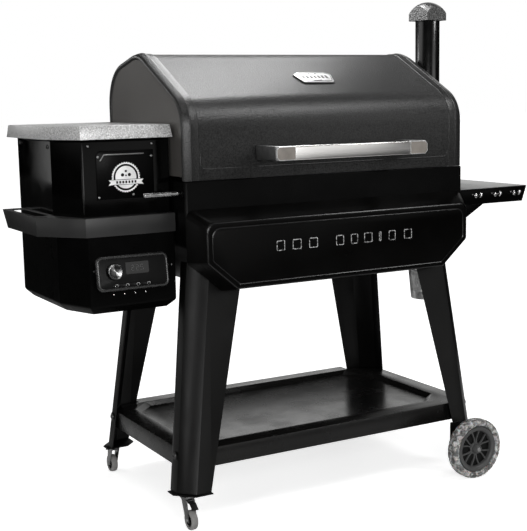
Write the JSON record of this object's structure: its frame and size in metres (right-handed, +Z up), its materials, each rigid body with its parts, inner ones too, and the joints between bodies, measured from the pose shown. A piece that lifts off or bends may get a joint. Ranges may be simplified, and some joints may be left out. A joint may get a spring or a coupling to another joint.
{
  "type": "pellet smoker grill",
  "caption": "Pellet smoker grill on a cart: box barrel with hinged arched lid and bar handle, pellet hopper with control housing, chimney, side shelf, grease bucket, wheels and casters.",
  "frame": {"origin": "on the floor, under the middle of the grill's bounding box", "axes": "+Z up, front with the lid handle towards -Y, hopper and controls towards -X, side shelf towards +X"},
  "size_m": [1.462, 0.727, 1.3464],
  "materials": {
    "black_enamel": "gloss black enamel",
    "lid_hammertone": "charcoal hammertone powder coat",
    "silver_hammertone": "silver grey hammertone powder coat",
    "brushed_steel": "brushed stainless steel",
    "zinc": "zinc plated",
    "cast_iron": "matt black",
    "grey_rubber": "translucent grey, matt",
    "black_plastic": "satin black"
  },
  "bodies": {
    "cart": {"auger_motor": "black_plastic", "auger_tube": "zinc", "barrel_body": "black_enamel", "barrel_hinge_leaf": "black_enamel", "bottom_shelf": "black_enamel", "bucket_hook": "zinc", "chimney_elbow": "black_enamel", "chimney_pipe": "black_enamel", "combustion_fan_case": "black_plastic", "control_bezel": "black_plastic", "control_housing": "black_enamel", "control_panel": "black_plastic", "cooking_grate_left": "cast_iron", "cooking_grate_right": "cast_iron", "drain_spout": "zinc", "fire_pot": "cast_iron", "front_left_leg": "black_enamel", "front_panel": "black_enamel", "front_right_leg": "black_enamel", "front_wheel_axle": "zinc", "heat_deflector": "cast_iron", "hopper_apron": "black_enamel", "hopper_body": "black_enamel", "hopper_guard": "brushed_steel", "hopper_plate": "black_enamel", "lid_hinge_pin": "zinc", "power_inlet": "black_plastic", "probe_port_strip": "black_plastic", "rear_left_leg": "black_enamel", "rear_right_leg": "black_enamel", "rear_wheel_axle": "zinc", "shelf_gusset_front": "black_enamel", "shelf_gusset_rear": "black_enamel", "side_shelf_skirt": "black_enamel", "side_shelf_top": "brushed_steel", "upper_rack": "brushed_steel"},
    "lid": {"lid_shell": "lid_hammertone", "lid_handle_bar": "brushed_steel", "handle_bracket_left": "lid_hammertone", "handle_bracket_right": "lid_hammertone", "lid_hinge_leaf": "black_enamel"},
    "hopper_cover": {"hopper_lid": "silver_hammertone"},
    "broiler": {"broiler_slider": "cast_iron", "broiler_rod": "brushed_steel"},
    "dial": {"dial_knob": "brushed_steel"},
    "front_swivel": {"front_caster_fork": "zinc"},
    "front_roller": {"front_caster_wheel": "grey_rubber"},
    "front_brake": {"front_caster_brake": "black_plastic"},
    "rear_swivel": {"rear_caster_fork": "zinc"},
    "rear_roller": {"rear_caster_wheel": "grey_rubber"},
    "rear_brake": {"rear_caster_brake": "black_plastic"},
    "front_wheel": {"front_wheel_tyre": "grey_rubber", "front_wheel_rim": "black_plastic"},
    "rear_wheel": {"rear_wheel_tyre": "grey_rubber", "rear_wheel_rim": "black_plastic"},
    "bucket": {"grease_bucket": "brushed_steel", "bucket_bail": "zinc"},
    "chimney_hood": {"chimney_cap": "silver_hammertone"},
    "auger": {"auger_screw": "zinc"},
    "fan": {"fan_impeller": "black_plastic"}
  },
  "joints": [
    {"name": "lid_hinge", "type": "hinge", "parent": "cart", "child": "lid", "pos_m": [0.026, 0.2483, 0.8765], "axis": [-1, 0, 0], "range_deg": [0, 85]},
    {"name": "hopper_lid_hinge", "type": "hinge", "parent": "cart", "child": "hopper_cover", "pos_m": [-0.554, 0.2225, 0.99], "axis": [-1, 0, 0], "range_deg": [0, 100]},
    {"name": "broiler_slide", "type": "slide", "parent": "cart", "child": "broiler", "axis": [-1, 0, 0], "range_m": [0, 0.03]},
    {"name": "dial_turn", "type": "hinge", "parent": "cart", "child": "dial", "pos_m": [-0.582, -0.19194, 0.66396], "axis": [0, -0.9903, 0.1392], "range_deg": [-140, 140]},
    {"name": "front_caster_swivel", "type": "hinge", "parent": "cart", "child": "front_swivel", "pos_m": [-0.426, -0.25, 0.0885], "axis": [0, 0, 1], "continuous": true},
    {"name": "front_caster_spin", "type": "hinge", "parent": "front_swivel", "child": "front_roller", "pos_m": [-0.426, -0.266, 0.025], "axis": [1, 0, 0], "continuous": true},
    {"name": "front_brake_tip", "type": "hinge", "parent": "front_swivel", "child": "front_brake", "pos_m": [-0.426, -0.267, 0.071], "axis": [1, 0, 0], "range_deg": [0, 20]},
    {"name": "rear_caster_swivel", "type": "hinge", "parent": "cart", "child": "rear_swivel", "pos_m": [-0.426, 0.25, 0.0885], "axis": [0, 0, 1], "continuous": true},
    {"name": "rear_caster_spin", "type": "hinge", "parent": "rear_swivel", "child": "rear_roller", "pos_m": [-0.426, 0.266, 0.025], "axis": [1, 0, 0], "continuous": true},
    {"name": "rear_brake_tip", "type": "hinge", "parent": "rear_swivel", "child": "rear_brake", "pos_m": [-0.426, 0.267, 0.071], "axis": [-1, 0, 0], "range_deg": [0, 20]},
    {"name": "front_wheel_spin", "type": "hinge", "parent": "cart", "child": "front_wheel", "pos_m": [0.427, -0.3405, 0.085], "axis": [0, 1, 0], "continuous": true},
    {"name": "rear_wheel_spin", "type": "hinge", "parent": "cart", "child": "rear_wheel", "pos_m": [0.427, 0.3405, 0.085], "axis": [0, 1, 0], "continuous": true},
    {"name": "bucket_swing", "type": "hinge", "parent": "cart", "child": "bucket", "pos_m": [0.518, 0, 0.612], "axis": [0, 1, 0], "range_deg": [-8, 8]},
    {"name": "chimney_cap_slide", "type": "slide", "parent": "cart", "child": "chimney_hood", "axis": [0, 0, 1], "range_m": [0, 0.03]},
    {"name": "auger_spin", "type": "hinge", "parent": "cart", "child": "auger", "pos_m": [-0.614, 0.02, 0.7], "axis": [1, 0, 0], "continuous": true},
    {"name": "fan_spin", "type": "hinge", "parent": "cart", "child": "fan", "pos_m": [-0.574, 0.115, 0.64], "axis": [0, 1, 0], "continuous": true}
  ]
}
